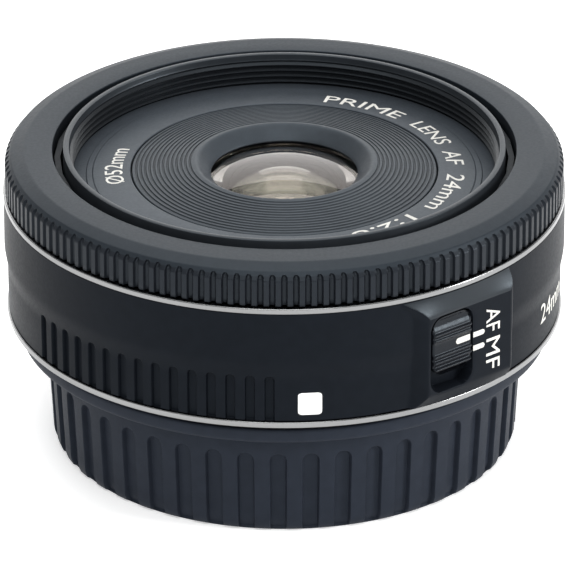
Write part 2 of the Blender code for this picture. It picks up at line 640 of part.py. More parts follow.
ap_c = az_xy(rp + IRIS_PINION_TEETH * IRIS_MODULE / 2 + 0.03, IRIS_ARM_AZ)
ap_tooth = IRIS_ARM_AZ - 90.0 + 180.0 + 180.0 / IRIS_PINION_TEETH
stepped_plate("aperture_pinion", [(teeth(ap_c[0], ap_c[1], IRIS_PINION_TEETH, IRIS_MODULE, ap_tooth), IRIS_RING_Z),
                                  (circle(ap_c[0], ap_c[1], 0.35, 8), (28.3, 29.5))],
              (BRASS, 0.35, 1.0), origin=(ap_c[0], ap_c[1], 28.9))
mx, my = az_xy(22.1, IRIS_ARM_AZ)
fx, fy = az_xy(24.75, IRIS_ARM_AZ)
stepped_plate("aperture_motor", [
    (rounded_rect(mx, my, 6.8, 6.0, 2.4, turn=IRIS_ARM_AZ - 90.0, n=4), (22.6, 28.1)),
    (rounded_rect(fx, fy, 0.8, 3.4, 0.1, turn=IRIS_ARM_AZ - 90.0, n=1), (22.6, 32.3))], (SILVER, 0.35, 1.0))

# AF/MF knob: the cap fills the slot, a wider foot behind the wall keeps it in.
knob_az = [28.9, 30.25, 35.3, 40.3, 41.65]
knob_z = [20.8, 21.5, 29.15, 29.8]
cell_ring("af_mf_knob", [31.9, 32.35, 34.6], knob_az, knob_z,
          lambda i, j, k: i == 0 or (k == 1 and j in (1, 2)), (SATIN, 0.45, 0.0), closed=False)

# ===================================================================== cap
cap_az = uniform(36, 5.0)
cap_r = [0.0, 25.3, 27.2, CAP_R1, 31.75, CAP_LIP_R]
cap_z = [0.0, 1.6, 12.6, CAP_LIP_Z[0], 15.0, CAP_LIP_Z[1]]
lug_spans = [(85.0, 115.0), (205.0, 235.0), (325.0, 355.0)]


def cap_radius(i, az, k):
    if i == 3:
        return CAP_R0 + (CAP_R1 - CAP_R0) * min(1.0, cap_z[k] / 12.6)
    return cap_r[i]


def cap_filled(i, j, k):
    mid = (cap_az[j] + 5.0) % 360.0
    if k == 0:
        return i <= 2
    if k == 2 and i == 1:
        return any(a < mid < b for a, b in lug_spans)
    if k in (1, 2):
        return i == 2
    if k == 3:
        return i in (2, 3, 4)
    return i == 4


cell_ring("rear_cap", cap_r, cap_az, cap_z, cap_filled, (CHARCOAL, 0.5, 0.0), rmap=cap_radius)
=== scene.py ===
"""Looks for the pancake lens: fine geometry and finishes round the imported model."""
import json
import math
import bpy
import bmesh
import numpy as np
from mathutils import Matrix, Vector


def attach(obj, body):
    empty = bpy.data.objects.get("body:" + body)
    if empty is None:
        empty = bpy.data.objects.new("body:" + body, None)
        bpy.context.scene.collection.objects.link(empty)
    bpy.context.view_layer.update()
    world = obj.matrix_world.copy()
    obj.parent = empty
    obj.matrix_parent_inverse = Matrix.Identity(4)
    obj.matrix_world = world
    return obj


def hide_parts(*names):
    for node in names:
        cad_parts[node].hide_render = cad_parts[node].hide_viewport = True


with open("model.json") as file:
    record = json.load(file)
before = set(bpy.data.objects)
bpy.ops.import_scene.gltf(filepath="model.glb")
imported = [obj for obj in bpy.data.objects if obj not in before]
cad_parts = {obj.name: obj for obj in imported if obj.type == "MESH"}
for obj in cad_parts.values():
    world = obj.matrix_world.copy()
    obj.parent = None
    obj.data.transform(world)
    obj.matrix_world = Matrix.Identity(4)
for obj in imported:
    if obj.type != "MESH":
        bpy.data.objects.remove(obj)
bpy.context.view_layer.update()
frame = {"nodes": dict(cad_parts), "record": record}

MM = 0.001
scene = bpy.context.scene
scene.view_settings.view_transform = 'Standard'
scene.view_settings.look = 'None'

# ------------------------------------------------------------------- camera
cam_data = bpy.data.cameras.new("camera")
cam_data.lens = 519.29
cam_data.sensor_width = 36.0
cam_data.clip_start, cam_data.clip_end = 0.05, 20.0
cam = bpy.data.objects.new("camera", cam_data)
scene.collection.objects.link(cam)
cam.location = Vector((0.085, -899.57, 463.1)) * MM
aim = Vector((0.085, 0.0, 19.08)) * MM
cam.rotation_euler = (aim - cam.location).to_track_quat('-Z', 'Y').to_euler()
scene.camera = cam


# ---------------------------------------------------------------- materials
class Mat:
    """A Principled material with small helpers for procedural detail."""

    def __init__(self, name, color, rough, metal=0.0, spec=0.5):
        m = bpy.data.materials.new(name)
        m.use_nodes = True
        self.m, self.t = m, m.node_tree
        self.b = self.t.nodes["Principled BSDF"]
        self.b.inputs["Base Color"].default_value = (*color, 1.0)
        self.b.inputs["Roughness"].default_value = rough
        self.b.inputs["Metallic"].default_value = metal
        self.b.inputs["Specular IOR Level"].default_value = spec
        self.color = color
        self.coord = self.t.nodes.new("ShaderNodeTexCoord")
        self.normal = None

    def node(self, kind, **inputs):
        n = self.t.nodes.new(kind)
        for k, v in inputs.items():
            n.inputs[k].default_value = v
        return n

    def link(self, a, b):
        self.t.links.new(a, b)

    def noise(self, scale, detail=2.0, stretch=None, rough=0.5):
        n = self.node("ShaderNodeTexNoise", Scale=scale, Detail=detail, Roughness=rough)
        if stretch:
            mp = self.node("ShaderNodeMapping")
            mp.inputs["Scale"].default_value = stretch
            self.link(self.coord.outputs["Object"], mp.inputs["Vector"])
            self.link(mp.outputs[0], n.inputs["Vector"])
        else:
            self.link(self.coord.outputs["Object"], n.inputs["Vector"])
        return n.outputs["Fac"]

    def ramp(self, src, lo, hi, a=0.35, b=0.65):
        r = self.node("ShaderNodeMapRange")
        r.inputs["From Min"].default_value, r.inputs["From Max"].default_value = a, b
        r.inputs["To Min"].default_value, r.inputs["To Max"].default_value = lo, hi
        self.link(src, r.inputs["Value"])
        return r.outputs[0]

    def vary_rough(self, scale, lo, hi, stretch=None, detail=2.0):
        self.link(self.ramp(self.noise(scale, detail, stretch), lo, hi), self.b.inputs["Roughness"])
        return self

    def vary_color(self, scale, c0, c1, stretch=None, detail=3.0, a=0.35, b=0.65):
        mx = self.node("ShaderNodeMix")
        mx.data_type = 'RGBA'
        mx.inputs["A"].default_value = (*c0, 1.0)
        mx.inputs["B"].default_value = (*c1, 1.0)
        self.link(self.ramp(self.noise(scale, detail, stretch), 0.0, 1.0, a, b), mx.inputs["Factor"])
        self.link(mx.outputs["Result"], self.b.inputs["Base Color"])
        return self

    def bump(self, scale, dist, strength=0.5, stretch=None, detail=2.0, src=None):
        bp = self.node("ShaderNodeBump", Strength=strength, Distance=dist)
        self.link(src if src is not None else self.noise(scale, detail, stretch), bp.inputs["Height"])
        if self.normal is not None:
            self.link(self.normal, bp.inputs["Normal"])
        self.normal = bp.outputs["Normal"]
        self.link(self.normal, self.b.inputs["Normal"])
        return self


def scaled(c, k):
    return tuple(min(1.0, x * k) for x in c)


def moulded(name, color, rough, spec=0.5, grain=5200.0, depth=0.000012, strength=0.35, tint=(0.76, 0.89, 1.0)):
    """Black moulded plastic: fine spark-eroded grain and a faint drift of tone."""
    m = Mat(name, color, rough, 0.0, spec)
    m.b.inputs["Specular Tint"].default_value = (*tint, 1.0)
    m.vary_color(700.0, scaled(color, 0.93), scaled(color, 1.07))
    m.vary_rough(2600.0, rough - 0.03, rough + 0.03)
    m.bump(grain, depth, strength)
    return m


def turned_metal(name, color, rough, lo=0.05):
    """Bright metal with fine turning marks round the axis."""
    m = Mat(name, color, rough, 1.0)
    m.vary_rough(260.0, max(0.03, rough - lo), rough + lo, stretch=(1.0, 1.0, 14.0))
    m.bump(900.0, 0.000004, 0.25, stretch=(0.6, 0.6, 12.0))
    m.vary_color(70.0, scaled(color, 0.94), color)
    return m


M_RING = moulded("ring_plastic", (0.0100, 0.0130, 0.0172), 0.50, 0.30, 4200.0, 0.00001, 0.25)
M_RIB = moulded("rib_plastic", (0.0080, 0.0093, 0.0124), 0.42, 0.22, 4200.0, 0.00001, 0.25)
M_SHELL = moulded("casing_plastic", (0.0060, 0.0074, 0.0102), 0.42, 0.055, 5200.0, 0.000014, 0.45)
M_SLOPE = moulded("smooth_casing_plastic", (0.0064, 0.0074, 0.0092), 0.36, 0.32, 5200.0, 0.00001, 0.3)
M_TUBE = moulded("tube_plastic", (0.0135, 0.0155, 0.0185), 0.38, 0.34, 4200.0, 0.000008, 0.2)
# The thread rows are coloured much darker than the tube plastic: black plastic plus painted shade for the inside of the
# filter recess.
M_THREAD_PAINTED_SHADE = moulded("thread_plastic_painted_shade", (0.0045, 0.0050, 0.0062), 0.34, 0.30, 4200.0, 0.000008, 0.2)
M_FACE = moulded("face_plastic", (0.0300, 0.0350, 0.0420), 0.5, 0.46, 4600.0, 0.00001, 0.3)
M_BAFFLE = moulded("baffle_plastic", (0.0262, 0.0310, 0.0370), 0.46, 0.34, 4600.0, 0.00001, 0.25)
# The groove rows are coloured darker than the cone plastic: painted shade in the cone's grooves.
M_GROOVE_PAINTED_SHADE = moulded("groove_plastic_painted_shade", (0.0160, 0.0188, 0.0225), 0.5, 0.3, 4600.0, 0.00001, 0.25)
M_CAP = moulded("cap_plastic", (0.0170, 0.0205, 0.0290), 0.50, 0.09, 3600.0, 0.000014, 0.3)
M_KNOB = moulded("knob_plastic", (0.0056, 0.0062, 0.0082), 0.30, 0.16, 4200.0, 0.00001, 0.25)
M_INNER = moulded("inner_plastic", (0.006, 0.006, 0.0065), 0.6, 0.3, 3000.0, 0.00002, 0.3)
M_SILVER = turned_metal("bright_trim", (0.260, 0.262, 0.264), 0.22)
M_MOUNT = turned_metal("mount_metal", (0.66, 0.655, 0.645), 0.26)
M_ALU = turned_metal("aluminium_tube", (0.58, 0.58, 0.59), 0.35)
M_STEEL = turned_metal("motor_steel", (0.60, 0.60, 0.60), 0.32)
M_BRASS = turned_metal("gear_brass", (0.74, 0.56, 0.27), 0.3)
M_GOLD = turned_metal("contact_gold", (0.90, 0.68, 0.30), 0.18)
NEUTRAL = (1.0, 1.0, 1.0)
M_WHITE = moulded("white_mark", (0.93, 0.93, 0.92), 0.45, 0.4, 3000.0, 0.000006, 0.15, NEUTRAL)
M_PRINT = moulded("white_print", (0.64, 0.63, 0.59), 0.5, 0.35, 6000.0, 0.000004, 0.1, NEUTRAL)
M_BOARD = moulded("circuit_board", (0.012, 0.085, 0.04), 0.4, 0.5, 2500.0, 0.00001, 0.2, NEUTRAL)
M_BOARD.vary_color(1400.0, (0.008, 0.06, 0.028), (0.03, 0.14, 0.07), a=0.48, b=0.52)
M_FLEX = moulded("flex_film", (0.42, 0.2, 0.05), 0.35, 0.5, tint=NEUTRAL)
M_IRIS = moulded("iris_plate", (0.012, 0.012, 0.013), 0.5, 0.4)
M_BLADE = moulded("blade_black", (0.010, 0.010, 0.011), 0.38, 0.5, 2600.0, 0.000004, 0.2)


def glass(name, tint, ior, coat_tint, spec):
    m = Mat(name, tint, 0.0, 0.0, 0.5)
    b = m.b
    b.inputs["Transmission Weight"].default_value = 1.0
    b.inputs["IOR"].default_value = ior
    b.inputs["Roughness"].default_value = 0.0
    b.inputs["Specular Tint"].default_value = (*coat_tint, 1.0)
    b.inputs["Specular IOR Level"].default_value = spec
    m.vary_rough(40.0, 0.0, 0.012)
    return m


M_GLASS1 = glass("coated_glass_front", (0.88, 0.85, 0.80), 1.54, (1.0, 0.86, 0.78), 0.17)
M_GLASS2 = glass("coated_glass_mid", (0.93, 0.93, 0.90), 1.36, (0.98, 1.0, 0.84), 0.035)
M_GLASS3 = glass("coated_glass_rear", (0.93, 0.94, 0.92), 1.36, (0.90, 1.0, 0.86), 0.03)


# ------------------------------------------------------------------ builders
def finish_mesh(name, verts, faces, mats, face_mat=None, body=None, replaces=(), angle=35.0, weld=0.0):
    me = bpy.data.meshes.new(name)
    me.from_pydata([tuple(v) for v in np.asarray(verts) * MM], [], faces)
    if face_mat is not None:
        me.polygons.foreach_set("material_index", np.asarray(face_mat, dtype=np.int32))
    bm = bmesh.new()
    bm.from_mesh(me)
    if weld:
        bmesh.ops.remove_doubles(bm, verts=bm.verts[:], dist=weld * MM)
        bmesh.ops.dissolve_degenerate(bm, edges=bm.edges[:], dist=1e-9)
    bmesh.ops.recalc_face_normals(bm, faces=bm.faces[:])
    bm.to_mesh(me)
    bm.free()
    me.shade_smooth()
    me.set_sharp_from_angle(angle=math.radians(angle))
    for m in mats:
        me.materials.append(m.m)
    ob = bpy.data.objects.new(name, me)
    scene.collection.objects.link(ob)
    if body:
        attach(ob, body)
    if replaces:
        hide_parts(*replaces)
    return ob


def xyz(r, az, z):
    a = np.radians(az)
    return np.stack([r * np.sin(a), -r * np.cos(a), z + 0 * r], axis=-1)


def lathe(name, prof, azs, mats, body, replaces=(), mod=None, mat_rows=None, angle=35.0, weld=0.0,
          centre=(0.0, 0.0), mat_cell=None):
    """Closed (r, z) outline turned about the axis.  mod(R, Z, AZ)
    shapes the surface further; mat_rows(i) gives a row's material."""
    P = np.array(prof, dtype=float)
    azs = np.asarray(azs, dtype=float)
    n, m = len(P), len(azs)
    R = np.repeat(P[:, :1], m, 1)
    Z = np.repeat(P[:, 1:2], m, 1)
    A = np.repeat(azs[None, :], n, 0)
    if mod:
        R, Z = mod(R, Z, A)
    V = xyz(R, A, Z).reshape(-1, 3)
    V[:, 0] += centre[0]
    V[:, 1] += centre[1]
    i = np.arange(n)
    j = np.arange(m)
    I, J = np.meshgrid(i, j, indexing='ij')
    I2, J2 = (I + 1) % n, (J + 1) % m
    F = np.stack([I * m + J, I2 * m + J, I2 * m + J2, I * m + J2], axis=-1).reshape(-1, 4)
    fm = None
    if mat_rows:
        fm = np.array([mat_rows(k) for k in range(n)])[I].reshape(-1)
    if mat_cell:
        fm = mat_cell(R, Z, A).astype(int).reshape(-1)
    return finish_mesh(name, V, F.tolist(), mats, fm, body, replaces, angle, weld)


def fillet(points, radius, n=4, closed=True):
    """Round each corner of a polyline; radius is one number or one per point."""
    out = []
    k = len(points)
    for i in range(k):
        r = radius[i] if isinstance(radius, (list, tuple)) else radius
        p = np.array(points[i], float)
        if (not closed and i in (0, k - 1)) or r <= 0:
            out.append(tuple(p))
            continue
        a = np.array(points[i - 1], float) - p
        b = np.array(points[(i + 1) % k], float) - p
        la, lb = np.linalg.norm(a), np.linalg.norm(b)
        a, b = a / la, b / lb
        c = max(-1.0, min(1.0, float(a @ b)))
        half = math.acos(c) / 2
        if half > math.radians(88):
            out.append(tuple(p))
            continue
        d = min(r / math.tan(half), 0.48 * la, 0.48 * lb)
        s, e = p + a * d, p + b * d
        for q in range(n + 1):
            t = q / n
            out.append(tuple((1 - t) ** 2 * s + 2 * t * (1 - t) * p + t * t * e))
    return out


def smooth(x, a, b):
    t = np.clip((x - a) / (b - a), 0.0, 1.0)
    return t * t * (3 - 2 * t)


def wrap(a):
    return (a + 180.0) % 360.0 - 180.0


def even(n, phase=0.0):
    return np.arange(n) * 360.0 / n + phase


def rows(*spans):
    """Heights from spans of (start, end, step), without repeats."""
    out = []
    for a, b, s in spans:
        k = max(1, int(round(abs(b - a) / s)))
        for v in np.linspace(a, b, k + 1):
            if not out or abs(out[-1] - v) > 1e-6:
                out.append(float(v))
    return out


# ================================================================ focus ring
RIBS = 150
pitch = 360.0 / RIBS
phases = np.array([-0.5, -0.40, -0.325, -0.285, -0.255, -0.22, -0.16, -0.06, 0.06, 0.16, 0.22, 0.255, 0.285, 0.325, 0.40])
ring_az = np.sort(np.concatenate([(k + phases) * pitch for k in range(RIBS)]))
outer = [(33.55, 32.85), (33.75, 32.88), (33.85, 32.98)]
outer += [(33.85, z) for z in (33.6, 34.4, 35.2, 35.7, 35.95)]
curve = fillet([(33.85, 35.9), (33.85, 36.2), (33.12, 37.12), (31.5, 37.7), (28.35, 37.7)], [0, 0.45, 0.5, 1.2, 0], 5,
               closed=False)[1:-1]
fine = [outer[-1]]
for p in curve:
    q = fine[-1]
    d = math.hypot(p[0] - q[0], p[1] - q[1])
    if d > 0.14 and p[0] > 32.9:
        k = int(d / 0.1)
        fine += [(q[0] + (p[0] - q[0]) * t / k, q[1] + (p[1] - q[1]) * t / k) for t in range(1, k)]
    fine.append(p)
outer += fine[1:]
inner = fillet([(30.0, 37.7), (28.08, 37.7), (28.08, 35.7), (28.9, 35.7), (28.9, 36.5), (32.5, 36.5), (32.5, 32.85),
                (33.0, 32.85)], [0, 0.14, 0.05, 0, 0, 0, 0.05, 0], 3, closed=False)
ring_prof = outer + inner
HW, ZC, DEPTH = 0.355, 36.42, 0.46


def ring_mod(R, Z, A):
    ph = wrap(A * 1.0) / pitch
    x = (ph - np.round(ph)) * pitch * math.pi / 180.0 * 33.85
    d = np.where(Z < ZC, np.abs(x) - HW, np.hypot(x, Z - ZC) - HW)
    floor = 1.0 - 0.22 * np.clip(np.abs(x) / HW, 0, 1) ** 2
    g = DEPTH * floor * (1.0 - smooth(d, -0.075, 0.045))
    g = np.where(R > 32.7, g, 0.0)
    return R - g, Z


n_outer = len(outer)
lathe("focus_ring_shell", ring_prof, ring_az, [M_RING, M_RIB], "focus_grip", ("focus_ring",),
      mod=ring_mod, mat_rows=lambda k: 1 if k < n_outer and ring_prof[k][1] < 36.6 else 0, angle=50.0)

# ===================================================================== trims
trim = fillet([(32.9, 31.98), (34.1, 31.98), (34.1, 32.68), (32.9, 32.68)], [0, 0.12, 0.16, 0], 4)
lathe("front_trim", trim, even(360), [M_SILVER], "body", ("front_trim_ring",))
trim = fillet([(33.3, 16.8), (33.78, 16.8), (33.78, 17.55), (33.3, 17.55)], [0, 0.12, 0.14, 0], 4)
lathe("rear_trim", trim, even(360), [M_SILVER], "body", ("rear_trim_ring",))

# ============================================================== barrel shell
BOSS_C, BOSS_D = 39.6, 34.42
S_AZ, S_Z = (30.0, 40.55), (19.35, 29.3)


def plate_r(az):
    return BOSS_D / np.cos(np.radians(np.clip(az - BOSS_C, -30.0, 30.0)))


def base_r(z):
    r = 34.05 - 0.40 * smooth(z, 25.9, 22.75)
    return r - 0.05 * smooth(z, 22.0, 17.7)


def rounded_box(x, y, hx, hy, r):
    """Signed distance to a rounded rectangle centred on the origin."""
    qx, qy = np.abs(x) - hx + r, np.abs(y) - hy + r
    return np.hypot(np.maximum(qx, 0), np.maximum(qy, 0)) + np.minimum(np.maximum(qx, qy), 0) - r


def step(x, a, b):
    """A straight ramp with lightly rounded ends."""
    t = np.clip((x - a) / (b - a), -0.2, 1.2)
    k = 0.06
    return np.clip(k * (np.logaddexp(0, t / k) - np.logaddexp(0, (t - 1) / k)), 0.0, 1.0)


def boss_sides(az, z):
    lean = 2.3 * np.clip((z - 29.3) / 2.2, 0, 1) ** 1.6 + 0.8 * np.clip((20.5 - z) / 2.8, 0, 1) ** 2
    left = step(az, 26.6 - lean, 29.3 - 0.4 * lean)
    shrink = 0.9 * np.clip((20.0 - z) / 2.3, 0, 1) ** 2 + 0.25 * np.clip((z - 30.5) / 1.2, 0, 1)
    t = np.clip((az - 50.15 + shrink) / 1.8, 0.0, 1.0)
    right = np.sqrt(1.0 - t * t)
    top = 1.0 - step(z, 29.65, 31.75)
    bottom = step(z, 17.3, 19.2)
    return left, right, top, 0.15 + 0.85 * bottom


def boss(az, z):
    """0 on the barrel, 1 on the flat plate."""
    left, right, top, bottom = boss_sides(az, z)
    k = np.minimum(np.minimum(left, right), np.minimum(top, bottom))
    return np.where((az > 22.5) & (az < 53.0), k, 0.0)


sl = [-3.0 - 4.0 * k for k in range(15)]
SLOTS = sl + [180.0 + s for s in sl]


def shell_mod(R, Z, A):
    az = wrap(A)
    out = R > 33.3
    r = np.where(out, base_r(Z), R)
    b = boss(az, Z)
    r = np.where(out, r + np.maximum(plate_r(az) - r, 0.0) * b, r)
    # grip slots
    g = np.zeros_like(R)
    for s in SLOTS:
        x = wrap(az - s) * math.pi / 180.0 * 33.65
        m = np.abs(x) < 1.2
        if not m.any():
            continue
        d = np.where(Z < 23.02, np.abs(x) - 0.56, np.hypot(x, Z - 23.02) - 0.56)
        g = np.where(m, np.maximum(g, 0.5 * (1.0 - smooth(d, -0.10, 0.06))), g)
    r = np.where(out, r - g, r)
    # switch recess
    x = (az - (S_AZ[0] + S_AZ[1]) / 2) * math.pi / 180.0 * 34.5
    y = Z - (S_Z[0] + S_Z[1]) / 2
    hx = (S_AZ[1] - S_AZ[0]) / 2 * math.pi / 180.0 * 34.5
    d = rounded_box(x, y, hx, (S_Z[1] - S_Z[0]) / 2, 1.75)
    k = 1.0 - smooth(d, -0.05, 0.07)
    lip = np.exp(-(np.clip(d - 0.16, -1, 1) / 0.12) ** 2) * 0.04
    r = np.where(out, r * (1 - k) + 32.75 * k - lip * (1 - k), r)
    return r, Z


az_list = [even(360)]
for s in SLOTS:
    az_list.append(s + np.array([-1.15, -1.06, -0.98, -0.9, -0.82, -0.6, -0.3, 0.0, 0.3, 0.6, 0.82, 0.9, 0.98, 1.06, 1.15]))
az_list.append(np.arange(23.0, 26.0, 0.2))
az_list.append(np.arange(26.0, 33.6, 0.11))
az_list.append(np.arange(33.6, 37.4, 0.25))
az_list.append(np.arange(37.4, 41.2, 0.11))
az_list.append(np.arange(49.3, 52.6, 0.09))
shell_az = np.unique(np.round(np.mod(np.concatenate(az_list), 360.0), 4))
keep = [0]
for i in range(1, len(shell_az)):
    if shell_az[i] - shell_az[keep[-1]] > 0.055:
        keep.append(i)
shell_az = shell_az[keep]
zr = rows((17.7, 19.1, 0.14), (19.1, 21.3, 0.1), (21.3, 22.7, 0.35), (22.7, 23.8, 0.09), (23.8, 27.4, 0.4),
          (27.4, 29.9, 0.1), (29.9, 31.78, 0.14))
shell_prof = [(33.2, 16.8), (33.2, 17.62), (33.45, 17.7)] + [(33.6, z) for z in zr] + \
             [(34.02, 31.84), (33.9, 31.9), (32.0, 31.9), (30.6, 31.9), (30.6, 36.2), (29.4, 36.2), (29.4, 30.9),
              (32.6, 30.9), (32.6, 16.8)]


def polished(R, Z, A):
    """The slope over the switch plate is smoother than the grained wall."""
    az = wrap(A)
    left, right, top, bottom = boss_sides(az, Z)
    slope = (top <= left) & (top <= right) & (top < 0.995) & (top > 0.02)
    return (R > 33.3) & (Z < 31.8) & (az > 24.0) & (az < 52.5) & slope


lathe("barrel_casing", shell_prof, shell_az, [M_SHELL, M_SLOPE], "body", ("barrel_shell",), mod=shell_mod,
      angle=60.0, mat_cell=polished)


def patch(name, az_c, z_c, half_w, half_h, corner, r_func, thick, mats, body, replaces=(), na=40, nz=40,
          shape=None, angle=40.0):
    """A small raised tile on a curved surface: a grid squeezed into a rounded
    rectangle, with side walls and a back."""
    u = np.linspace(-1, 1, na)
    v = np.linspace(-1, 1, nz)
    U, W = np.meshgrid(u, v, indexing='ij')
    X, Y = U * half_w, W * half_h
    # pull the grid's corners on to the rounded outline
    cx, cy = half_w - corner, half_h - corner
    limit_x = np.where(np.abs(Y) > cy, cx + np.sqrt(np.maximum(corner ** 2 - (np.abs(Y) - cy) ** 2, 0)), half_w)
    X = U * limit_x
    az = az_c + np.degrees(X / r_func(az_c * np.ones(1), z_c)[0])
    z = z_c + Y
    top = r_func(az, z) + thick
    edge = rounded_box(X, Y, half_w, half_h, corner)
    top = top - 0.10 * (1.0 - smooth(-edge, 0.0, 0.22)) * min(1.0, thick / 0.3) if thick > 0.25 else top
    if shape is not None:
        top = top + shape(X, Y, edge)
    back = r_func(az, z) - 0.12 if thick < 0.6 else np.full_like(top, 32.95)
    Vt = xyz(top, az, z).reshape(-1, 3)
    Vb = xyz(back, az, z).reshape(-1, 3)
    n = na * nz
    F = []
    idx = lambda i, j: i * nz + j
    for i in range(na - 1):
        for j in range(nz - 1):
            F.append((idx(i, j), idx(i + 1, j), idx(i + 1, j + 1), idx(i, j + 1)))
            F.append((n + idx(i, j), n + idx(i, j + 1), n + idx(i + 1, j + 1), n + idx(i + 1, j)))
    loop = [(i, 0) for i in range(na)] + [(na - 1, j) for j in range(1, nz)] + \
           [(i, nz - 1) for i in range(na - 2, -1, -1)] + [(0, j) for j in range(nz - 2, 0, -1)]
    for a, b in zip(loop, loop[1:] + loop[:1]):
        ia, ib = idx(*a), idx(*b)
        F.append((ia, n + ia, n + ib, ib))
    return finish_mesh(name, np.concatenate([Vt, Vb]), F, mats, None, body, replaces, angle, weld=0.0005)


surface = lambda az, z: base_r(np.asarray(z) + 0 * np.asarray(az))
plate = lambda az, z: plate_r(np.asarray(az)) + 0 * np.asarray(z)
patch("index_square", 5.2, 19.95, 1.43, 1.45, 0.42, surface, 0.05, [M_WHITE], "body", ("index_mark",),
      na=24, nz=24)


# ------------------------------------------------------------ switch knob
def knob_shape(X, Y, edge):
    """Grip ridges above and below a flat middle, and scooped ends."""
    r = np.zeros_like(X)
    for c, h in ((1.75, 0.30), (1.02, 0.26), (-1.12, 0.26), (-1.90, 0.30), (-2.80, 0.34)):
        t = Y - c
        r = r + h * np.where(t > 0, np.exp(-(t / 0.16) ** 2), np.exp(-(t / 0.34) ** 2))
    r = r - 0.30 * smooth(Y, 2.0, 2.9) + 0.22 * smooth(Y, 3.25, 3.75)
    r = r - 0.75 * smooth(-Y, 3.05, 3.85)
    return r


KNOB_Z = 25.35
patch("switch_knob", 35.3, KNOB_Z, 2.97, 3.78, 1.55, plate, 0.12 + 0.6, [M_KNOB], "af_switch", ("af_mf_knob",),
      na=60, nz=150, shape=lambda X, Y, e: knob_shape(X, Y, e) * smooth(-e, -0.02, 0.12) - 0.74, angle=50.0)
knob_top = lambda az, z: plate_r(np.asarray(az)) - 0.02 + 0 * np.asarray(z)


def bar(name, az0, az1, z_c, half, on, r_func, round_left, round_right, lift=0.03):
    """A printed bar from az0 to az1 with either end rounded."""
    w = math.radians(az1 - az0) * 34.5
    n = 28
    X = np.linspace(0, w, n)
    h = np.full(n, half)
    if round_left:
        h = np.where(X < half, np.sqrt(np.maximum(half ** 2 - (half - X) ** 2, 0.0)), h)
    if round_right:
        t = X - (w - half)
        h = np.where(t > 0, np.sqrt(np.maximum(half ** 2 - t ** 2, 0.0)), h)
    h = np.maximum(h, 0.02)
    az = az0 + np.degrees(X / 34.5)
    V = []
    for k in (lift, -0.10):
        for q in (-1.0, 1.0):
            z = z_c + q * h
            V.append(xyz(r_func(az, z) + k, az, z))
    V = np.concatenate(V)
    F = []
    for i in range(n - 1):
        F += [(i, i + 1, n + i + 1, n + i), (2 * n + i, 3 * n + i, 3 * n + i + 1, 2 * n + i + 1),
              (i, 2 * n + i, 2 * n + i + 1, i + 1), (n + i, n + i + 1, 3 * n + i + 1, 3 * n + i)]
    F += [(0, n, 3 * n, 2 * n), (n - 1, 3 * n - 1, 4 * n - 1, 2 * n - 1)]
    return finish_mesh(name, V, F, [M_PRINT], None, on, (), 30.0)


bar("switch_bar", 36.25, 39.85, 25.28, 0.385, "af_switch", knob_top, True, False)
bar("mark_af", 40.75, 43.65, 25.33, 0.335, "body", plate, False, True)
bar("mark_mf", 40.75, 43.65, 23.55, 0.335, "body", plate, False, True)


# --------------------------------------------------------------- lettering
def text_mesh(body):
    cu = bpy.data.curves.new("txt", 'FONT')
    cu.body = body
    cu.size = 1.0
    cu.resolution_u = 3
    cu.offset = 0.0
    ob = bpy.data.objects.new("txt", cu)
    scene.collection.objects.link(ob)
    bpy.context.view_layer.update()
    dg = bpy.context.evaluated_depsgraph_get()
    me = bpy.data.meshes.new_from_object(ob.evaluated_get(dg))
    bm = bmesh.new()
    bm.from_mesh(me)
    bmesh.ops.triangulate(bm, faces=bm.faces[:], ngon_method='EAR_CLIP')
    V = np.array([v.co[:2] for v in bm.verts])
    bm.verts.index_update()
    F = [tuple(v.index for v in f.verts) for f in bm.faces]
    bm.free()
    bpy.data.objects.remove(ob)
    bpy.data.meshes.remove(me)
    return V, F


def place_text(name, body, mapper, height, width, on):
    """mapper(u, v, h) takes centred text coordinates in mm and a height off the
    surface to a point; the letters stand 0.03 mm proud."""
    V, F = text_mesh(body)
    lo, hi = V.min(0), V.max(0)
    k = height / (hi[1] - lo[1])
    U = (V[:, 0] - (lo[0] + hi[0]) / 2) * width / (hi[0] - lo[0])
    W = (V[:, 1] - (lo[1] + hi[1]) / 2) * k
    top, bottom = mapper(U, W, 0.03), mapper(U, W, -0.05)
    n = len(V)
    edges = {}
    for f in F:
        for a in range(3):
            e = (f[a], f[(a + 1) % 3])
            edges[e] = True
    faces = [tuple(f) for f in F] + [tuple(n + i for i in reversed(f)) for f in F]
    for (a, b) in list(edges):
        if (b, a) not in edges:
            faces.append((a, n + a, n + b, b))
    return finish_mesh(name, np.concatenate([top, bottom]), faces, [M_PRINT], None, on, (), 30.0)


def side_mapper(az_c, z_c):
    """Text on the switch plate, reading downwards."""
    def f(u, w, h):
        az = az_c + np.degrees(w / 35.0)
        z = z_c - u
        return xyz(plate_r(az) + h, az, z)
    return f


place_text("text_af", "AF", side_mapper(45.85, 26.5), 2.12, 3.1, "body")
place_text("text_mf", "MF", side_mapper(45.9, 22.0), 2.12, 4.1, "body")


def wall_mapper(az_c, z_c):
    """Upright text round the barrel."""
    def f(u, w, h):
        z = z_c + w
        return xyz(base_r(z) + h, az_c + np.degrees(u / 33.9), z)
    return f


place_text("text_side", "24mm", wall_mapper(66.6 + 8.0, 21.6), 2.5, 9.4, "body")


def ring_mapper(r_c, az_c, z_at):
    """Text on the name ring, its foot towards the axis."""
    def f(u, w, h):
        r = r_c + w
        az = az_c - np.degrees(u / r_c)
        return xyz(r, az, z_at(r) + h)
    return f


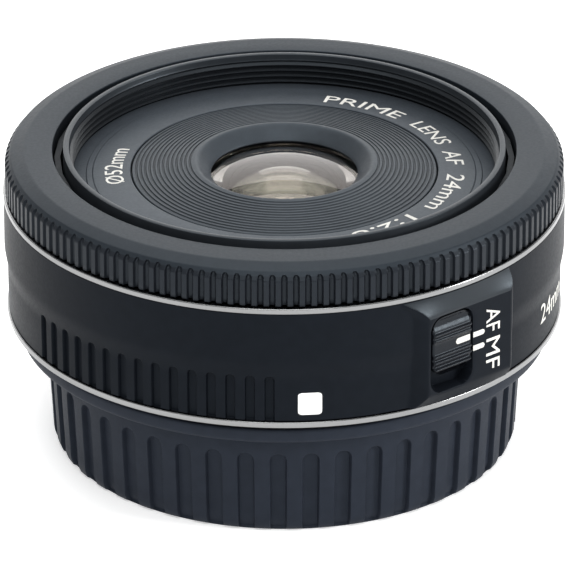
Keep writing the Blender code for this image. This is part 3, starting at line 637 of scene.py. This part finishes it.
name_z = lambda r: 34.53 + (23.15 - r) * (34.83 - 34.53) / (23.15 - 18.75)
for k, (word, az_0, az_1) in enumerate((("PRIME", 166.0, 136.5), ("LENS", 129.5, 110.5), ("AF", 104.5, 94.0),
                                        ("24mm", 86.0, 58.0), ("1:2.8", 49.0, 24.0))):
    place_text("text_front_%d" % (k + 1), word, ring_mapper(20.45 if k == 4 else 20.85, (az_0 + az_1) / 2, name_z), 2.12,
               math.radians(az_0 - az_1) * 20.85, "optics")
place_text("text_filter", "\u00d852mm", ring_mapper(20.7, -92.6, name_z), 2.2, 10.0, "optics")

# =============================================================== front tube
thread = []
z = 37.2
while z > 34.7:
    thread += [(26.0, z), (25.98, z - 0.10), (25.63, z - 0.36), (25.62, z - 0.44), (25.98, z - 0.68)]
    z -= 0.75
tube_prof = [(26.8, 27.5), (26.8, 37.92), (26.76, 38.04), (26.66, 38.1), (26.2, 38.1), (26.08, 38.05), (26.04, 37.95),
             (26.03, 37.5), (25.95, 37.32)] + thread + \
            [(26.03, 34.3), (26.03, 33.6), (13.9, 33.6), (13.9, 18.3), (14.8, 18.3), (14.8, 32.6), (26.05, 32.6),
             (26.05, 27.5)]
# the thread rows get the darker material: painted shade inside the recess
tube = lathe("front_tube", tube_prof, even(288), [M_TUBE, M_THREAD_PAINTED_SHADE], "optics", ("lens_barrel",), angle=40.0,
      mat_rows=lambda k: 1 if tube_prof[k][0] < 26.04 and 33.8 < tube_prof[k][1] < 37.45 else 0)

# the window in the sleeve that the diaphragm ring's toothed arm reaches through
me = bpy.data.meshes.new("arm_window")
me.from_pydata([(x * MM, y * MM, z * MM) for z in (28.3, 29.6) for x, y in ((12.35, -3.5), (16.35, -3.5), (16.35, 3.5), (12.35, 3.5))],
               [], [(0, 3, 2, 1), (4, 5, 6, 7), (0, 1, 5, 4), (1, 2, 6, 5), (2, 3, 7, 6), (3, 0, 4, 7)])
window = bpy.data.objects.new("arm_window", me)
scene.collection.objects.link(window)
cutter = tube.modifiers.new("arm_window", 'BOOLEAN')
cutter.operation, cutter.solver, cutter.object = 'DIFFERENCE', 'EXACT', window
bpy.context.view_layer.update()
opened = bpy.data.meshes.new_from_object(tube.evaluated_get(bpy.context.evaluated_depsgraph_get()))
tube.modifiers.clear()
tube.data = opened
bpy.data.objects.remove(window)
bpy.data.meshes.remove(me)

name_prof = fillet([(25.85, 33.8), (25.85, 34.22), (24.05, 34.25), (23.95, 34.40), (23.3, 34.43), (23.15, 34.53),
                    (18.75, 34.83), (18.65, 34.75), (18.65, 33.8)],
                   [0, 0.08, 0.05, 0.05, 0.05, 0.05, 0.06, 0.03, 0], 3)
lathe("name_plate_ring", name_prof, even(288), [M_FACE], "optics", ("name_ring",), angle=28.0)

# ============================================================= grooved cone
cone = [(18.47, 34.66), (18.40, 34.76)]
N_G, r0, r1 = 13, 17.95, 11.45
for g in range(N_G):
    rc = r0 + (r1 - r0) * g / (N_G - 1)
    for dr, dz in ((0.15, 0.0), (0.08, -0.10), (-0.06, -0.10), (-0.15, 0.0)):
        r = rc + dr
        cone.append((r, 34.78 + (18.4 - r) * (35.86 - 34.78) / (18.4 - 10.95) + dz))
cone += [(10.98, 35.87), (10.82, 35.9), (10.66, 35.88), (10.45, 35.76), (10.1, 35.48), (9.65, 35.1), (9.25, 34.76),
         (8.98, 34.5), (8.9, 34.38), (8.9, 34.25), (12.0, 33.8), (18.47, 33.8)]
# the groove rows get the darker material: painted shade in the grooves
lathe("grooved_cone", cone, even(288), [M_BAFFLE, M_GROOVE_PAINTED_SHADE], "optics", ("front_baffle",), angle=24.0,
      mat_rows=lambda k: 1 if 2 <= k < 2 + 4 * N_G and (k - 2) % 4 < 3 else 0)


# ================================================================= elements
def cap_curve(r_edge, z_edge, z_vertex, n):
    """Points of a sphere's surface from axis to edge."""
    s = z_edge - z_vertex
    if abs(s) < 1e-3:
        return [(r_edge * i / n, z_vertex) for i in range(n + 1)]
    R = (r_edge ** 2 + s ** 2) / (2 * s)
    out = []
    for i in range(n + 1):
        r = r_edge * i / n
        out.append((r, z_vertex + R - math.copysign(math.sqrt(R * R - r * r), R)))
    return out


def element(node, r, rear, front, mat, rim=None, seg=120):
    """rear and front are (z at edge, z at axis); rim is where the rear
    surface's polish ends."""
    a = cap_curve(rim or r, rear[0], rear[1], 18)
    b = cap_curve(r, front[0], front[1], 18)
    prof = a + ([(r, rear[0])] if rim else []) + b[::-1]
    prof = [(max(p[0], 0.0), p[1]) for p in prof]
    return lathe(node + "_glass", prof, even(seg), [mat], "optics", (node,), weld=0.0005, angle=30.0)


element("element_1", 9.6, (31.3, 34.0), (33.6, 35.3), M_GLASS1, rim=7.0, seg=160)
element("element_2", 6.6, (30.65, 30.6), (31.2, 32.6), M_GLASS2)
element("element_3", 6.6, (29.5, 29.85), (30.3, 30.35), M_GLASS2, rim=5.6)
element("element_4", 6.7, (23.55, 22.1), (23.95, 25.4), M_GLASS3)
element("element_5", 6.7, (21.4, 21.45), (23.4, 21.95), M_GLASS3)
element("element_6", 8.1, (19.0, 17.9), (20.05, 20.1), M_GLASS3)

# ====================================================================== cap
CAP_SLOTS = 46
cap_pitch = 360.0 / CAP_SLOTS
half = [0.03, 0.09, 0.14, 0.18, 0.205, 0.222, 0.236, 0.248, 0.260, 0.272, 0.286, 0.305, 0.36, 0.44]
ph = np.array([-0.5] + [-v for v in half[::-1]] + half)
cap_az = np.concatenate([(k + ph) * cap_pitch - 1.45 for k in range(CAP_SLOTS)])
LUGS = [(85.0, 115.0), (205.0, 235.0), (325.0, 355.0)]
extra = np.array([v + d for s in LUGS for v in s for d in (-0.05, 0.05)])
cap_az = np.unique(np.round(np.mod(np.concatenate([cap_az, extra]), 360.0), 4))
body_r = lambda z: 28.30 + 0.60 * smooth(z, -2.0, 13.0)
zc = rows((1.3, 9.0, 1.1), (9.0, 9.6, 0.15), (9.6, 11.0, 0.08), (11.0, 13.6, 0.5))
cap_prof = [(0.0, 0.55), (22.0, 0.55), (22.6, 0.5), (23.2, 0.12), (23.5, 0.0), (27.0, 0.0), (27.6, 0.06), (28.02, 0.32), (28.2, 0.75)] + \
           [(28.9, z) for z in zc] + \
           [(28.95, 13.8), (29.15, 13.92), (31.6, 13.96), (32.05, 14.02), (32.24, 14.2), (32.3, 14.5), (32.3, 15.4),
            (32.26, 15.62), (32.12, 15.76), (31.95, 15.8), (31.85, 15.77), (31.75, 15.65), (31.75, 15.05), (31.7, 15.0),
            (27.25, 15.0), (27.2, 14.95), (27.2, 13.97), (27.2, 13.96), (27.2, 12.6), (27.2, 12.59), (27.2, 2.2),
            (26.6, 1.6), (0.0, 1.6)]
cap_top = 9.75


def cap_mod(R, Z, A):
    r = R.copy()
    wall = np.isclose(R, 28.9)
    r = np.where(wall, body_r(Z), r)
    outer = ((R > 27.9) & (Z < 13.7) & (Z > 0.2)) & ~np.isclose(R, 27.2)
    p = (A + 1.45) / cap_pitch
    x = (p - np.round(p)) * cap_pitch * math.pi / 180.0 * 28.7
    d = np.where(Z < cap_top, np.abs(x) - 1.0, np.hypot(x, Z - cap_top) - 1.0)
    g = 0.62 * (1.0 - smooth(d, -0.15, 0.06))
    r = np.where(outer, r - g * smooth(Z, 0.0, 0.2), r)
    lug = np.zeros_like(R, dtype=bool)
    for a, b in LUGS:
        lug |= (A > a) & (A < b)
    inner = np.isclose(R, 27.2) & (Z < 13.965) & (Z > 12.595)
    r = np.where(inner & lug, 25.3, r)
    return r, Z


lathe("lens_cap", cap_prof, cap_az, [M_CAP], "cap", ("rear_cap",), mod=cap_mod, weld=0.0002, angle=40.0)

# ==================================================================== mount
TABS = [(15.0, 65.0), (135.0, 185.0), (255.0, 305.0)]
m_az = np.unique(np.round(np.concatenate([even(240)] + [np.array([a + d for d in (-0.05, 0.05)]) for s in TABS for a in s]), 4) % 360.0)
m_prof = [(23.6, 10.6), (24.8, 10.6), (24.9, 10.7), (24.9, 10.72), (24.9, 12.2), (24.9, 12.3), (24.9, 15.3), (31.2, 15.3), (31.4, 15.45),
          (31.4, 16.5), (23.6, 16.5)]


def mount_mod(R, Z, A):
    tab = np.zeros_like(R, dtype=bool)
    for a, b in TABS:
        tab |= (A > a) & (A < b)
    r = R.copy()
    r[3] = np.where(tab[3], 26.45, 24.9)
    r[4] = np.where(tab[4], 26.6, 24.9)
    Z = Z.copy()
    Z[2] = 10.6
    Z[3] = np.where(tab[3], 10.6, 10.72)
    r[2] = 24.9
    R2 = r
    Z[4] = np.where(tab[4], 12.28, 12.2)
    return R2, Z


lathe("bayonet_ring", m_prof, m_az, [M_MOUNT], "body", ("mount_bayonet",), mod=mount_mod, angle=40.0)
for n, az in enumerate((45.0, 135.0, 225.0, 315.0)):
    a = math.radians(az)
    c = (29.2 * math.sin(a), -29.2 * math.cos(a))
    prof = [(0.0, 15.5), (0.35, 15.45), (0.5, 15.22), (1.35, 15.2), (1.5, 15.3), (1.5, 15.75), (0.7, 15.9), (0.7, 17.6), (0.0, 17.6)]
    lathe("flange_screw_%d" % (n + 1), prof, even(28), [M_STEEL], "body", ("mount_screw_%d" % (n + 1),),
          weld=0.0005, centre=c)

# ============================================== finishes of the other nodes
SLOT_MATS = {"inner_plastic": M_INNER, "aluminium_tube": M_ALU, "motor_steel": M_STEEL, "gear_brass": M_BRASS,
             "contact_gold": M_GOLD, "circuit_board": M_BOARD, "flex_film": M_FLEX, "iris_plate": M_IRIS,
             "blade_black": M_BLADE, "mount_metal": M_MOUNT, "bright_trim": M_SILVER, "white_mark": M_WHITE,
             "casing_plastic": M_SHELL, "ring_plastic": M_RING, "tube_plastic": M_TUBE, "face_plastic": M_FACE,
             "baffle_plastic": M_BAFFLE, "cap_plastic": M_CAP, "knob_plastic": M_KNOB, "coated_glass": M_GLASS3}
for sp in frame["record"]["subparts"]:
    ob = frame["nodes"][sp["node"]]
    mat = SLOT_MATS[sp["material_slot"]].m
    if not ob.material_slots:
        ob.data.materials.append(mat)
    for s in ob.material_slots:
        s.material = mat

# ============================================================ floor and light
me = bpy.data.meshes.new("floor")
S = 3.0
me.from_pydata([(-S, -S, -0.00005), (S, -S, -0.00005), (S, S, -0.00005), (-S, S, -0.00005)], [], [(0, 1, 2, 3)])
floor = bpy.data.objects.new("floor", me)
scene.collection.objects.link(floor)
fm = Mat("floor_paper", (0.93, 0.93, 0.93), 0.9, 0.0, 0.1)
fm.b.inputs["Emission Color"].default_value = (1.0, 1.0, 1.0, 1.0)
fm.b.inputs["Emission Strength"].default_value = 0.40
me.materials.append(fm.m)

world = bpy.data.worlds.new("studio")
world.use_nodes = True
bg = world.node_tree.nodes["Background"]
bg.inputs["Color"].default_value = (1.0, 1.0, 1.0, 1.0)
bg.inputs["Strength"].default_value = 0.42
scene.world = world


def area(name, loc, target, size, power, color=(1.0, 1.0, 1.0)):
    ld = bpy.data.lights.new(name, 'AREA')
    ld.shape = 'RECTANGLE'
    ld.size, ld.size_y = size
    ld.energy = power
    ld.color = color
    ob = bpy.data.objects.new(name, ld)
    scene.collection.objects.link(ob)
    ob.location = loc
    ob.rotation_euler = (Vector(target) - Vector(loc)).to_track_quat('-Z', 'Y').to_euler()
    return ob


area("top", (0.0, 0.25, 0.9), (0, 0, 0.03), (0.9, 0.7), 5.0)
area("back", (0.0, 1.0, 0.43), (0, 0, 0.03), (1.25, 0.76), 5.4)
area("front", (0.0, -1.05, 0.80), (0, 0, 0.03), (0.8, 0.4), 4.4)
area("front_right", (1.016, -0.27, 0.34), (0.02, -0.025, 0.03), (0.24, 0.34), 8.0)
area("high_front", (0.0, -0.46, 0.90), (0, 0, 0.03), (0.5, 0.3), 2.2)
area("left", (-0.8, -0.1, 0.35), (0, 0, 0.02), (0.25, 0.6), 0.5)
area("right", (0.8, 0.05, 0.35), (0, 0, 0.02), (0.25, 0.6), 0.6)
